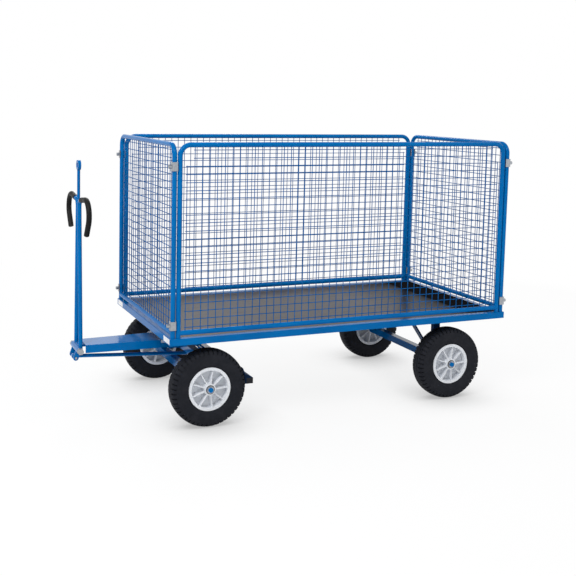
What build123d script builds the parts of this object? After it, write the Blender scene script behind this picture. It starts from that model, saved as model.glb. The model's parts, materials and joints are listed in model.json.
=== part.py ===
from build123d import *

import os
from math import atan2, cos, degrees, radians, sin, tan

# Mesh-sided hand cart, millimetres, +Z up, drawbar towards -X, left side towards -Y.
# The origin lies on the floor under the middle of the outline.

# Deck
deck_length = 2000.0
deck_width = 1000.0
deck_top = 480.0
rim_height = 35.0
rim_width = 32.0
rim_wall = 2.5
board_thickness = 15.0
board_gap = 0.5
member_width = 30.0
member_height = 20.0
member_wall = 2.0
middle_members = 2
front_member_offset = 130.0
screws_per_member = 3
screw_radius = 2.5
screw_head_radius = 5.5
screw_head_height = 3.0
screw_length = 22.0

# Wheels and axles
wheel_radius = 200.0
tyre_width = 100.0
tyre_wall = 9.0
wheel_lip_radius = 112.0
wheel_lip_thickness = 5.0
wheel_seat_radius = 104.0
wheel_barrel_wall = 7.5
wheel_barrel_width = 90.0
wheel_web_thickness = 6.0
wheel_web_offset = 4.0
wheel_ribs = 9
wheel_rib_thickness = 5.0
hub_radius = 30.0
hub_length = 104.0
bearing_radius = 23.5
bearing_length = 15.0
spindle_radius = 12.5
spindle_end = 6.0
thrust_washer_radius = 19.0
thrust_washer_thickness = 3.0
clip_ring_radius = 15.0
clip_ring_thickness = 2.0
clip_groove_depth = 1.0
axle_size = 40.0
track = 866.0
king_setback = 220.0
wheelbase = 1445.0
rear_leg_width = 30.0
rear_leg_wall = 3.0
rear_leg_spacing = 640.0
brace_run = 175.0
brace_thickness = 8.0
brace_width = 40.0

# Walls
tube_radius = 12.5
tube_wall = 2.0
wall_bend_radius = 55.0
wall_top = 1449.5
bottom_rail_gap = 12.5
mesh_pitch = 40.0
wire_radius = 2.0
wire_end_overhang = 4.0
clipped_rows = 2
clamp_thickness = 3.0
clamp_height = 44.0
clamp_corner_radius = 7.0
upper_clamp_drop = 118.0
lower_clamp_rise = 5.0
clamp_screw_radius = 5.0
clamp_nut_flats = 17.0
clamp_nut_height = 8.0
clamp_head_height = 7.0

# Turntable
subframe_height = 30.0
subframe_width = 30.0
subframe_wall = 3.0
ring_height = 65.0
ring_flange_thickness = 6.0
ring_inner_radius = 60.0
ring_outer_radius = 130.0
ball_circle_radius = 110.0
ball_radius = 8.0
ball_count = 24
race_wall = 9.0
race_lip_gap = 6.0
ring_bolt_radius = 6.0
ring_bolt_flats = 18.0
ring_bolt_head = 8.0
ring_nut_height = 8.0
ring_bolt_circle = 80.0
subframe_offset = 58.0

# Bogie
beam_width = 40.0
beam_height = 32.0
beam_wall = 3.0
side_beam_offset = 66.0
cross_beam_offset = 75.0
bolster_height = 42.0
bolster_length = 660.0
bogie_leg_depth = 30.0

# Drawbar arm and pivot
arm_front_width = 134.0
arm_rear_width = 172.0
arm_rise = 18.0
arm_depth = 43.0
arm_sheet = 4.0
arm_to_pivot = 32.0
drawbar_reach = 354.0
pivot_drop = 27.0
pivot_radius = 10.0
sleeve_radius = 17.0
nose_length = 72.0
sleeve_length = 41.0
tongue_width = 60.0
tongue_thickness = 8.0
tongue_length = 84.0
pivot_washer_radius = 17.0
pivot_washer_thickness = 3.0
pivot_nut_flats = 30.0
pivot_nut_height = 16.0

# Handle
handle_set_back = 8.0
leg_radius = 11.0
leg_wall = 2.0
leg_foot_inset = 15.7
handle_shoulder = 784.0
handle_hook_rise = 35.0
handle_hook_reach = 318.0
hook_tail_lean = 34.7
hook_tail_length = 67.0
shoulder_bend = 40.0
hook_bend = 75.0
grip_wall = 3.0
grip_start = 66.0
grip_cap = 4.0
eye_rod_radius = 8.0
eye_rod_tail = 110.0
eye_height = 966.0
eye_radius = 26.5
eye_bore_radius = 13.0
eye_thickness = 16.0

# Brake
lever_radius = 46.0
lever_lean = 19.0
lever_end_radius = 14.0
lever_thickness = 8.0
lever_spacing = 88.0
lever_pin_radius = 6.0
lever_pin_overhang = 4.0
rod_radius = 10.0
rod_bore_radius = 8.0
rod_eye_width = 24.0
rod_thread_radius = 6.0
rod_thread_length = 80.0
rod_tip_length = 18.0
rod_nut_flats = 18.0
rod_nut_height = 10.0
rod_washer_radius = 16.0
rod_washer_thickness = 3.0
beam_to_tyre = 8.0
brake_beam_depth = 36.0
brake_beam_height = 30.0
brake_beam_rise = 3.0
brake_beam_wall = 3.0
brake_beam_length = 914.0
lug_thickness = 8.0
lug_reach = 85.0
lug_width = 50.0
lug_height = 84.0
lug_slot_width = 14.0
lug_slot_height = 48.0
hanger_setback = 180.0
hanger_rise = 88.0
hanger_thickness = 8.0
hanger_inset = 14.0
hanger_end_radius = 14.0
hanger_pin_radius = 6.0
shoe_width = 54.0
shoe_thickness = 6.0
shoe_gap = 0.6
shoe_low_angle = 1.0
shoe_high_angle = 25.0
shoe_rib_angle = 17.0
shoe_rib_thickness = 8.0

# Clearances
running_clearance = 0.05
slide_clearance = 0.3
seat_clearance = 0.02
post_hole_clearance = 0.8
weld_overlap = 1.0

# Levels
board_bottom = deck_top - board_thickness
rim_bottom = deck_top - rim_height
member_bottom = board_bottom - member_height
ring_top = member_bottom - subframe_height
bogie_top = ring_top - ring_height
bogie_bottom = bogie_top - beam_height
bolster_bottom = bogie_top - bolster_height
arm_top = bogie_top + arm_rise
arm_bottom = arm_top - arm_depth
pivot_z = arm_top - pivot_drop
axle_z = wheel_radius
axle_top = axle_z + axle_size / 2
axle_bottom = axle_z - axle_size / 2
rail_z = deck_top + bottom_rail_gap + tube_radius
top_rail_z = wall_top - tube_radius

# Places along the length
nose_reach = lever_radius * sin(radians(lever_lean)) + lever_end_radius
clamp_reach = clamp_nut_height + clamp_head_height
clamp_side = tube_radius + slide_clearance + clamp_thickness
post_inset = rim_width / 2
clamp_overhang = clamp_side + clamp_reach - post_inset
front_reach = drawbar_reach + nose_reach
deck_front = front_reach - (front_reach + deck_length + clamp_overhang) / 2
deck_rear = deck_front + deck_length
deck_middle = deck_front + deck_length / 2
king_x = deck_front + king_setback
rear_axle_x = king_x + wheelbase
pivot_x = deck_front - drawbar_reach
shaft_x = pivot_x + handle_set_back
arm_front = pivot_x + arm_to_pivot
post_y = deck_width / 2 - post_inset
post_step = clamp_side + seat_clearance + tube_radius
side_post_inset = post_inset + post_step
wheel_y = track / 2


def block(x, y, z):
    """Box between pairs of limits."""
    size = Box(x[1] - x[0], y[1] - y[0], z[1] - z[0], align=(Align.MIN, Align.MIN, Align.MIN))
    return Pos(x[0], y[0], z[0]) * size


def round_x(x, y, z, radius):
    """Cylinder along X between two limits."""
    shape = Cylinder(radius, x[1] - x[0], align=(Align.CENTER, Align.CENTER, Align.MIN))
    return Pos(x[0], y, z) * Rot(0, 90, 0) * shape


def round_y(x, y, z, radius):
    """Cylinder along Y between two limits."""
    shape = Cylinder(radius, y[1] - y[0], align=(Align.CENTER, Align.CENTER, Align.MIN))
    return Pos(x, y[0], z) * Rot(-90, 0, 0) * shape


def round_z(x, y, z, radius):
    """Cylinder along Z between two limits."""
    shape = Cylinder(radius, z[1] - z[0], align=(Align.CENTER, Align.CENTER, Align.MIN))
    return Pos(x, y, z[0]) * shape


def hexagon(flats, height):
    """Hexagonal prism standing on the XY plane."""
    return extrude(RegularPolygon(flats / 2, 6, major_radius=False), height)


def ring(inner, outer, z):
    """Flat ring about the Z axis."""
    return round_z(0, 0, z, outer) - round_z(0, 0, z, inner)


def profile_y(points, y):
    """Outline in X and Z, extruded between two Y limits."""
    face = make_face(Polyline(*[(px, 0, pz) for px, pz in points], close=True))
    return Pos(0, y[0], 0) * extrude(face, amount=y[1] - y[0], dir=(0, 1, 0))


def box_tube_y(x, y, z, wall):
    """Rectangular hollow section along Y, open at both ends."""
    hollow = block((x[0] + wall, x[1] - wall), y, (z[0] + wall, z[1] - wall))
    return block(x, y, z) - hollow


def box_tube_x(x, y, z, wall):
    """Rectangular hollow section along X, open at both ends."""
    hollow = block(x, (y[0] + wall, y[1] - wall), (z[0] + wall, z[1] - wall))
    return block(x, y, z) - hollow


def bent_tube(points, radii, outer, bore):
    """Round tube along straight runs joined by tangent bends."""
    path = FilletPolyline(*points, radius=radii)
    start = Plane(path @ 0, z_dir=path % 0)
    return sweep(start * Circle(outer), path=path) - sweep(start * Circle(bore), path=path)


def both_sides(shape):
    """The shape and its mirror image across the middle of the cart."""
    return [shape, mirror(shape, about=Plane.XZ)]


def save(name, *pieces):
    """Writes one node, a single solid or a group of separate solids."""
    solids = [solid for piece in pieces for solid in piece.solids()]
    shape = solids[0] if len(solids) == 1 else Compound(children=solids)
    export_step(shape, os.path.join("parts", name + ".step"))


# Deck

def member_places():
    """Middles of the deck members along X, front to rear."""
    front = king_x - front_member_offset
    second = king_x + front_member_offset
    brace = rear_axle_x - brace_run
    step = (brace - second) / (middle_members + 1)
    middles = [second + step * (i + 1) for i in range(middle_members)]
    return [front, second] + middles + [brace, rear_axle_x]


def screw_places():
    """Places of the deck screws, in rows over the members."""
    step = (deck_width - 2 * rim_width) / (screws_per_member + 1)
    rows = [step * (i + 1) - deck_width / 2 + rim_width for i in range(screws_per_member)]
    return [(x, y) for x in member_places() for y in rows]


def upper_bolt_places():
    """Places of the bolts between the upper ring and the subframe."""
    spread = (ring_bolt_circle ** 2 - subframe_offset ** 2) ** 0.5
    return [(king_x + sx * spread, sy * subframe_offset) for sx in (-1, 1) for sy in (-1, 1)]


def lower_bolt_places():
    """Places of the bolts between the lower ring and the side beams."""
    spread = (ring_bolt_circle ** 2 - side_beam_offset ** 2) ** 0.5
    return [(king_x + sx * spread, sy * side_beam_offset) for sx in (-1, 1) for sy in (-1, 1)]


def side_post_places():
    """Places of the side walls' posts."""
    ends = (deck_front + side_post_inset, deck_rear - side_post_inset)
    return [(x, y) for x in ends for y in (-post_y, post_y)]


def deck_rim():
    """Welded frame of rectangular tube, with holes for the side walls' posts."""
    half = deck_width / 2
    inner = half - rim_width
    z = (rim_bottom, deck_top)
    body = block((deck_front, deck_rear), (-half, half), z)
    body -= block((deck_front + rim_width, deck_rear - rim_width), (-inner, inner), z)
    core_z = (rim_bottom + rim_wall, deck_top - rim_wall)
    core = block((deck_front + rim_wall, deck_rear - rim_wall), (rim_wall - half, half - rim_wall), core_z)
    keep = rim_width - rim_wall
    core -= block((deck_front + keep, deck_rear - keep), (keep - half, half - keep), core_z)
    body -= core
    for x, y in side_post_places():
        body -= round_z(x, y, (deck_top - rim_wall, deck_top), tube_radius + post_hole_clearance)
    return body


def deck_members():
    """Flat hollow members across the deck, drilled for the deck screws."""
    end = deck_width / 2 - rim_width
    z = (member_bottom, board_bottom)
    half = member_width / 2
    drill_z = (board_bottom - member_wall, board_bottom)
    drills = [round_z(x, y, drill_z, screw_radius + running_clearance) for x, y in screw_places()]
    members = [box_tube_y((x - half, x + half), (-end, end), z, member_wall) for x in member_places()]
    return [member - drills for member in members]


def turntable_subframe():
    """Two tubes under the front deck members, drilled for the ring bolts, and two ties between them."""
    half = subframe_width / 2
    z = (ring_top, member_bottom)
    reach = front_member_offset + member_width / 2
    inner = subframe_offset - half
    drill_z = (ring_top, ring_top + subframe_wall)
    drills = [round_z(x, y, drill_z, ring_bolt_radius + running_clearance) for x, y in upper_bolt_places()]
    tubes = []
    for side in (-1, 1):
        y = side * subframe_offset
        tube = box_tube_x((king_x - reach, king_x + reach), (y - half, y + half), z, subframe_wall)
        tubes.append(tube - drills)
        x = king_x + side * front_member_offset
        tubes.append(box_tube_y((x - half, x + half), (-inner, inner), z, subframe_wall))
    return tubes


def deck_board():
    """Board let into the rim, counterbored for its screws."""
    edge = rim_width + board_gap
    half = deck_width / 2 - edge
    board = block((deck_front + edge, deck_rear - edge), (-half, half), (board_bottom, deck_top))
    head_z = (deck_top - screw_head_height, deck_top)
    drills = []
    for x, y in screw_places():
        drills.append(round_z(x, y, (board_bottom, deck_top), screw_radius + running_clearance))
        drills.append(round_z(x, y, head_z, screw_head_radius + running_clearance))
    return board - drills


def deck_screws():
    """Flat-headed screws through the board into the members."""
    screws = []
    for x, y in screw_places():
        head = round_z(x, y, (deck_top - screw_head_height, deck_top), screw_head_radius)
        screws.append(head + round_z(x, y, (deck_top - screw_length, deck_top), screw_radius))
    return screws


# Walls, each built about its own middle with its outer face towards -Y

post_foot = rim_bottom + rim_wall + seat_clearance
side_half = deck_length / 2 - side_post_inset
end_half = post_y


def wall_frame(half, foot):
    """Bent tube with a bottom rail between its posts."""
    points = [(-half, 0, foot), (-half, 0, top_rail_z), (half, 0, top_rail_z), (half, 0, foot)]
    frame = bent_tube(points, wall_bend_radius, tube_radius, tube_radius - tube_wall)
    rail = round_x((-half, half), 0, rail_z, tube_radius)
    posts = [round_z(s * half, 0, (foot, top_rail_z - wall_bend_radius), tube_radius) for s in (-1, 1)]
    rail = rail - posts - round_x((-half, half), 0, rail_z, tube_radius - tube_wall)
    return frame + rail


def wall_mesh(half):
    """Welded wire panel: upright wires outside, level wires inside, with clipped upper corners."""
    low = rail_z + tube_radius + seat_clearance
    high = top_rail_z - tube_radius - seat_clearance
    clear = half - tube_radius - wire_end_overhang - wire_radius
    columns = int(2 * clear / mesh_pitch)
    rows = int((high - low) / mesh_pitch)
    layer = wire_radius + seat_clearance
    first_row = (low + high - rows * mesh_pitch) / 2
    edge = columns * mesh_pitch / 2
    wires = []
    for i in range(columns + 1):
        at_edge = i in (0, columns)
        top = first_row + (rows - clipped_rows) * mesh_pitch + wire_end_overhang if at_edge else high
        wires.append(round_z(i * mesh_pitch - edge, -layer, (low, top), wire_radius))
    for j in range(rows + 1):
        inset = mesh_pitch if j > rows - clipped_rows else 0
        reach = edge - inset + wire_end_overhang
        wires.append(round_x((-reach, reach), layer, first_row + j * mesh_pitch, wire_radius))
    return wires


def left_wall_place():
    """Place of the left wall's middle."""
    return Pos(deck_middle, -post_y, 0)


def right_wall_place():
    """Place of the right wall's middle."""
    return Pos(deck_middle, post_y, 0) * Rot(0, 0, 180)


def front_wall_place():
    """Place of the front wall's middle."""
    return Pos(deck_front + post_inset, 0, 0) * Rot(0, 0, -90)


def rear_wall_place():
    """Place of the rear wall's middle."""
    return Pos(deck_rear - post_inset, 0, 0) * Rot(0, 0, 90)


def corner_clamp(z):
    """Clamp on the left wall's front post: strap, screw and lock nut, open towards the cart's middle."""
    x = deck_front + post_inset
    depth = clamp_side + tube_radius
    centre = (clamp_side - tube_radius) / 2
    inner = clamp_side - clamp_thickness
    blank = extrude(RectangleRounded(2 * clamp_side, 4 * depth, clamp_corner_radius), clamp_height)
    room = extrude(RectangleRounded(2 * inner, 4 * depth - 2 * clamp_thickness,
                                    clamp_corner_radius - clamp_thickness), clamp_height)
    strap = Pos(x, -post_y - clamp_side + 2 * depth, z) * (blank - room)
    strap = strap & block((x - clamp_side, x + clamp_side),
                          (-post_y - clamp_side, -post_y + tube_radius), (z, z + clamp_height))
    middle = z + clamp_height / 2
    face = x - clamp_side
    strap -= round_x((face, face + clamp_thickness), -post_y, middle, clamp_screw_radius + running_clearance)
    turn = Pos(face, -post_y, middle) * Rot(0, -90, 0)
    nut = turn * hexagon(clamp_nut_flats, clamp_nut_height)
    nut -= round_x((face - clamp_nut_height, face), -post_y, middle, clamp_screw_radius + running_clearance)
    head = turn * Pos(0, 0, clamp_nut_height) * hexagon(clamp_nut_flats, clamp_head_height)
    tip = x - tube_radius - slide_clearance
    screw = head + round_x((face - clamp_nut_height, tip), -post_y, middle, clamp_screw_radius)
    return [strap, nut, screw]


def left_clamps():
    """The left wall's four clamps."""
    upper = wall_top - upper_clamp_drop - clamp_height / 2
    lower = rail_z + tube_radius + lower_clamp_rise
    front = corner_clamp(upper) + corner_clamp(lower)
    across = Plane.YZ.offset(deck_middle)
    return front + [mirror(piece, about=across) for piece in front]


# Wheels, built about the Y axis with the outer face towards -Y

def around_y(radii, y):
    """Ring about the Y axis."""
    body = round_y(0, y, 0, radii[1])
    return body - round_y(0, y, 0, radii[0]) if radii[0] else body


def wheel_rim():
    """Plastic wheel centre: hub, web, barrel with two lips, and radial ribs on both faces of the web."""
    half = wheel_barrel_width / 2
    barrel_inner = wheel_seat_radius - wheel_barrel_wall
    web_face = -wheel_web_offset - wheel_web_thickness
    rim = around_y((bearing_radius + seat_clearance, hub_radius), (-hub_length / 2, hub_length / 2))
    rim += around_y((hub_radius - weld_overlap, barrel_inner + weld_overlap), (web_face, -wheel_web_offset))
    rim += around_y((barrel_inner, wheel_seat_radius), (-half, half))
    for low in (-half, half - wheel_lip_thickness):
        rim += around_y((barrel_inner, wheel_lip_radius), (low, low + wheel_lip_thickness))
    rib_in = hub_radius - weld_overlap
    rib_out = barrel_inner + weld_overlap
    ribs = []
    for side, base in ((-1, web_face + weld_overlap), (1, -wheel_web_offset - weld_overlap)):
        rib_outline = [(rib_in, base), (rib_out, base), (rib_out, side * (half - wheel_lip_thickness)),
                       (rib_in, side * (hub_length / 2 - wheel_lip_thickness))]
        rib_face = make_face(Polyline(*[(r, y, 0) for r, y in rib_outline], close=True))
        rib = extrude(rib_face, amount=wheel_rib_thickness / 2, both=True)
        ribs += [Rot(0, i * 360 / wheel_ribs, 0) * rib for i in range(wheel_ribs)]
    return rim + ribs


def tyre_outline(half, bead, crown, seat):
    """Tyre section between two bead faces, as a face in X (radius) and Y."""
    lip = seat + wheel_lip_radius - wheel_seat_radius
    swell = seat + 0.5 * (crown - seat)
    points = [(lip, bead), (swell, half), (crown - 0.07 * crown, 0.92 * half),
              (crown - 0.025 * crown, 0.76 * half), (crown - 0.01 * crown, 0.5 * half)]
    right = [Line((seat, bead), points[0]), ThreePointArc(*points[:3]), ThreePointArc(*points[2:])]
    left = [mirror(edge, about=Plane.XZ) for edge in right]
    tread = ThreePointArc(points[-1], (crown, 0), (points[-1][0], -points[-1][1]))
    return make_face(right + left + [tread, Line((seat, -bead), (seat, bead))])


def tyre():
    """Hollow tyre, seated on the wheel's barrel between its lips."""
    half = tyre_width / 2
    bead = wheel_barrel_width / 2 - wheel_lip_thickness - seat_clearance
    seat = wheel_seat_radius + seat_clearance
    outer = revolve(tyre_outline(half, bead, wheel_radius, seat), axis=Axis.Y)
    hollow = tyre_outline(half - tyre_wall, bead - tyre_wall, wheel_radius - tyre_wall, seat)
    return outer - revolve(hollow, axis=Axis.Y)


def hub_bearings():
    """Two bearings in the ends of the hub."""
    half = hub_length / 2
    bore = spindle_radius + running_clearance
    starts = (-half, half - bearing_length)
    return [around_y((bore, bearing_radius), (low, low + bearing_length)) for low in starts]


def wheel_stop():
    """Distance from the wheel's middle to the outer face of its thrust washer."""
    return hub_length / 2 + slide_clearance + thrust_washer_thickness


def axle(x):
    """Square axle with turned spindles and clip grooves."""
    half = axle_size / 2
    shoulder = wheel_y - hub_length / 2 - slide_clearance
    end = wheel_y + wheel_stop() + clip_ring_thickness + spindle_end
    bar = block((x - half, x + half), (-shoulder, shoulder), (axle_bottom, axle_top))
    bar += round_y(x, (-end, end), axle_z, spindle_radius)
    groove = wheel_y + wheel_stop()
    for side in (-1, 1):
        y = sorted((side * groove, side * (groove + clip_ring_thickness)))
        cut = round_y(x, y, axle_z, spindle_radius + weld_overlap)
        bar -= cut - round_y(x, y, axle_z, spindle_radius - clip_groove_depth)
    return bar


def axle_washers(x):
    """Thrust washer and spring clip outside each hub of one axle."""
    start = wheel_y + wheel_stop() - thrust_washer_thickness
    face = start + thrust_washer_thickness
    pieces = []
    for side in (-1, 1):
        y = sorted((side * start, side * face))
        washer = round_y(x, y, axle_z, thrust_washer_radius)
        pieces.append(washer - round_y(x, y, axle_z, spindle_radius + running_clearance))
        y = sorted((side * face, side * (face + clip_ring_thickness)))
        clip = round_y(x, y, axle_z, clip_ring_radius)
        pieces.append(clip - round_y(x, y, axle_z, spindle_radius - clip_groove_depth))
    return pieces


def rear_legs():
    """Hollow legs between the rear axle and its deck member."""
    half = axle_size / 2
    y = (rear_leg_spacing - rear_leg_width) / 2, (rear_leg_spacing + rear_leg_width) / 2
    leg = block((rear_axle_x - half, rear_axle_x + half), y, (axle_top, member_bottom))
    hollow = block((rear_axle_x - half + rear_leg_wall, rear_axle_x + half - rear_leg_wall),
                   (y[0] + rear_leg_wall, y[1] - rear_leg_wall), (axle_top, member_bottom))
    return both_sides(leg - hollow)


def rear_braces():
    """Sloping flat bars from the brace member down to the front of the rear axle."""
    top_x = rear_axle_x - brace_run
    foot_x = rear_axle_x - axle_size / 2
    slope = atan2(member_bottom - axle_top, foot_x - top_x)
    along = brace_thickness / sin(slope)
    down = brace_thickness / cos(slope)
    points = [(top_x, member_bottom), (foot_x, axle_top), (foot_x, axle_top - down),
              (top_x - along, member_bottom)]
    y = (rear_leg_spacing - brace_width) / 2, (rear_leg_spacing + brace_width) / 2
    return both_sides(profile_y(points, y))


# Turntable, built about the Z axis

race_z = bogie_top + ring_height / 2
groove_radius = ball_radius + slide_clearance


def groove():
    """Ball track shared by both rings."""
    return Pos(0, 0, race_z) * Torus(ball_circle_radius, groove_radius)


def ring_race_gap():
    """Radial room between a race wall and the ball circle."""
    return ball_radius / 2


def upper_ring():
    """Upper ring: bolting flange and outer race."""
    inside = ball_circle_radius + ring_race_gap()
    outside = inside + race_wall
    body = ring(ring_inner_radius, outside, (ring_top - ring_flange_thickness, ring_top))
    body += ring(inside, outside, (bogie_top + ring_flange_thickness + race_lip_gap, ring_top))
    body -= groove()
    for x, y in upper_bolt_places():
        body -= round_z(x - king_x, y, (bogie_top, ring_top), ring_bolt_radius + running_clearance)
    return Pos(king_x, 0, 0) * body


def lower_ring():
    """Lower ring: bolting flange and inner race."""
    outside = ball_circle_radius - ring_race_gap()
    inside = outside - race_wall
    body = ring(ring_inner_radius, ring_outer_radius, (bogie_top, bogie_top + ring_flange_thickness))
    body += ring(inside, outside, (bogie_top, ring_top - ring_flange_thickness - race_lip_gap))
    body -= groove()
    for x, y in lower_bolt_places():
        body -= round_z(x - king_x, y, (bogie_top, ring_top), ring_bolt_radius + running_clearance)
    return Pos(king_x, 0, 0) * body


def turntable_balls():
    """Balls between the two races."""
    places = PolarLocations(ball_circle_radius, ball_count)
    return [Pos(king_x, 0, race_z) * place * Sphere(ball_radius) for place in places]


def ring_bolts(places, seat, wall_side, wall, upward):
    """Hexagon bolts through a ring flange and one tube wall, with nuts inside the tube."""
    pieces = []
    way = 1 if upward else -1
    for x, y in places:
        stand = Pos(x, y, seat) * (Rot(0, 0, 0) if upward else Rot(180, 0, 0))
        shank = ring_flange_thickness + wall + ring_nut_height
        bolt = stand * (Pos(0, 0, -ring_bolt_head) * hexagon(ring_bolt_flats, ring_bolt_head)
                        + round_z(0, 0, (0, shank), ring_bolt_radius))
        nut = Pos(x, y, wall_side) * (Rot(0, 0, 0) if upward else Rot(180, 0, 0))
        nut = nut * hexagon(ring_bolt_flats, ring_nut_height)
        span = sorted((wall_side, wall_side + way * ring_nut_height))
        nut -= round_z(x, y, span, ring_bolt_radius + running_clearance)
        pieces += [bolt, nut]
    return pieces


# Bogie

def bogie_frame():
    """Bolster over the front axle and a frame of beams under the lower ring, drilled for its bolts."""
    half = beam_width / 2
    z = (bogie_bottom, bogie_top)
    reach = cross_beam_offset + half
    pieces = [box_tube_y((king_x - half, king_x + half), (-bolster_length / 2, bolster_length / 2),
                         (bolster_bottom, bogie_top), beam_wall)]
    for side in (-1, 1):
        y = (side * side_beam_offset - half, side * side_beam_offset + half)
        pieces.append(box_tube_x((king_x - reach, king_x - half), y, z, beam_wall))
        pieces.append(box_tube_x((king_x + half, king_x + reach), y, z, beam_wall))
    inner = side_beam_offset - half
    for end in (-1, 1):
        x = king_x + end * cross_beam_offset
        pieces.append(box_tube_y((x - half, x + half), (-inner, inner), z, beam_wall))
    top_wall = (bogie_top - beam_wall, bogie_top)
    drills = [round_z(x, y, top_wall, ring_bolt_radius + running_clearance) for x, y in lower_bolt_places()]
    return [piece - drills for piece in pieces]


def bogie_legs():
    """Upright tubes that stand the bolster on the front axle."""
    half = beam_width / 2
    x = (king_x - half, king_x + half)
    y = (bolster_length / 2 - bogie_leg_depth, bolster_length / 2)
    z = (axle_top, bolster_bottom)
    hollow = block((x[0] + beam_wall, x[1] - beam_wall), (y[0] + beam_wall, y[1] - beam_wall), z)
    return both_sides(block(x, y, z) - hollow)


def drawbar_arm():
    """Folded channel, open below, that widens towards the bogie and is cut back under the turntable."""
    rear = king_x - cross_beam_offset - beam_width / 2
    front_half = arm_front_width / 2
    rear_half = arm_rear_width / 2

    def plan(shrink, z):
        points = [(arm_front, -front_half + shrink), (rear, -rear_half + shrink),
                  (rear, rear_half - shrink), (arm_front, front_half - shrink)]
        face = make_face(Polyline(*[(x, y, z[0]) for x, y in points], close=True))
        return extrude(face, amount=z[1] - z[0], dir=(0, 0, 1))

    arm = plan(0, (arm_bottom, arm_top)) - plan(arm_sheet, (arm_bottom, arm_top - arm_sheet))
    step = king_x - ring_outer_radius - race_lip_gap
    under = bogie_top - seat_clearance
    return arm - block((step, rear), (-rear_half, rear_half), (under, arm_top))


def drawbar_nose():
    """Bearing tube at the arm's front end, on a tongue under the arm's top sheet."""
    half = nose_length / 2
    top = arm_top - arm_sheet
    tongue = block((pivot_x, pivot_x + tongue_length), (-tongue_width / 2, tongue_width / 2),
                   (top - tongue_thickness, top))
    nose = tongue + round_y(pivot_x, (-half, half), pivot_z, sleeve_radius)
    return nose - round_y(pivot_x, (-half, half), pivot_z, pivot_radius + running_clearance)


def pivot_half():
    """Distance from the middle to the outer end of a handle sleeve."""
    return nose_length / 2 + slide_clearance + sleeve_length


def pivot_bolt():
    """Bolt through the drawbar nose and the handle's sleeves, headed on the right."""
    face = pivot_half() + slide_clearance + pivot_washer_thickness
    bolt = round_y(pivot_x, (-face - pivot_nut_height, face), pivot_z, pivot_radius)
    head = Pos(pivot_x, face, pivot_z) * Rot(-90, 0, 0) * hexagon(pivot_nut_flats, pivot_nut_height)
    return bolt + head


def pivot_washers():
    """Two washers and the nut of the pivot bolt."""
    near = pivot_half() + slide_clearance
    face = near + pivot_washer_thickness
    bore = pivot_radius + running_clearance
    pieces = []
    for side in (-1, 1):
        y = sorted((side * near, side * face))
        pieces.append(round_y(pivot_x, y, pivot_z, pivot_washer_radius) - round_y(pivot_x, y, pivot_z, bore))
    nut = hexagon(pivot_nut_flats, pivot_nut_height)
    nut = Pos(pivot_x, -face - pivot_nut_height, pivot_z) * Rot(-90, 0, 0) * nut
    pieces.append(nut - round_y(pivot_x, (-face - pivot_nut_height, -face), pivot_z, bore))
    return pieces


# Handle

leg_meet = leg_radius + eye_rod_radius + slide_clearance
leg_foot = nose_length / 2 + slide_clearance + leg_foot_inset
leg_lean = (leg_foot - leg_meet) / (handle_shoulder - shoulder_bend)
leg_top = leg_meet - shoulder_bend * leg_lean
shoulder_z = pivot_z + handle_shoulder
hook_z = shoulder_z + handle_hook_rise
run_rise = degrees(atan2(hook_z - shoulder_z, handle_hook_reach - leg_top))
hook_turn = 90 + hook_tail_lean + run_rise
tail_run = hook_bend * tan(radians(hook_turn / 2)) + hook_tail_length
tail_y = handle_hook_reach - tail_run * sin(radians(hook_tail_lean))
tail_z = hook_z - tail_run * cos(radians(hook_tail_lean))


def handle_sleeves():
    """Two pivot sleeves, one on each side of the drawbar nose."""
    near = nose_length / 2 + slide_clearance
    y = (near, pivot_half())
    sleeve = round_y(pivot_x, y, pivot_z, sleeve_radius)
    return both_sides(sleeve - round_y(pivot_x, y, pivot_z, pivot_radius + running_clearance))


def handle_leg():
    """Right leg of the handle: a tube from its sleeve up to the shoulder and round the hook."""
    points = [(shaft_x, leg_foot, pivot_z), (shaft_x, leg_top, shoulder_z),
              (shaft_x, handle_hook_reach, hook_z), (shaft_x, tail_y, tail_z)]
    leg = bent_tube(points, [shoulder_bend, hook_bend], leg_radius, leg_radius - leg_wall)
    y = (0, 2 * leg_foot)
    around = (pivot_x - 2 * sleeve_radius, pivot_x + 2 * sleeve_radius)
    below = block(around, y, (pivot_z - 2 * leg_radius, pivot_z))
    return leg - round_y(pivot_x, y, pivot_z, sleeve_radius + seat_clearance) - below


def grip():
    """Right hose grip, slipped over the hook and closed at its end."""
    run = Vector(0, handle_hook_reach - leg_top, hook_z - shoulder_z)
    start = Vector(shaft_x, leg_top, shoulder_z) + run * ((grip_start - leg_top) / run.Y)
    corner = Vector(shaft_x, handle_hook_reach, hook_z)
    end = Vector(shaft_x, tail_y, tail_z)
    bore = leg_radius + seat_clearance
    hose = bent_tube([start, corner, end], hook_bend, bore + grip_wall, bore)
    cap = Plane(end, z_dir=end - corner) * extrude(Circle(bore + grip_wall), grip_cap)
    return hose + cap


def tow_eye():
    """Centre rod between the legs, with a forged towing eye at its top."""
    centre = pivot_z + eye_height
    half = eye_thickness / 2
    eye = round_x((shaft_x - half, shaft_x + half), 0, centre, eye_radius)
    rod = round_z(shaft_x, 0, (shoulder_z - eye_rod_tail, centre - eye_bore_radius), eye_rod_radius)
    return eye + rod - round_x((shaft_x - half, shaft_x + half), 0, centre, eye_bore_radius)


# Brake

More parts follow.
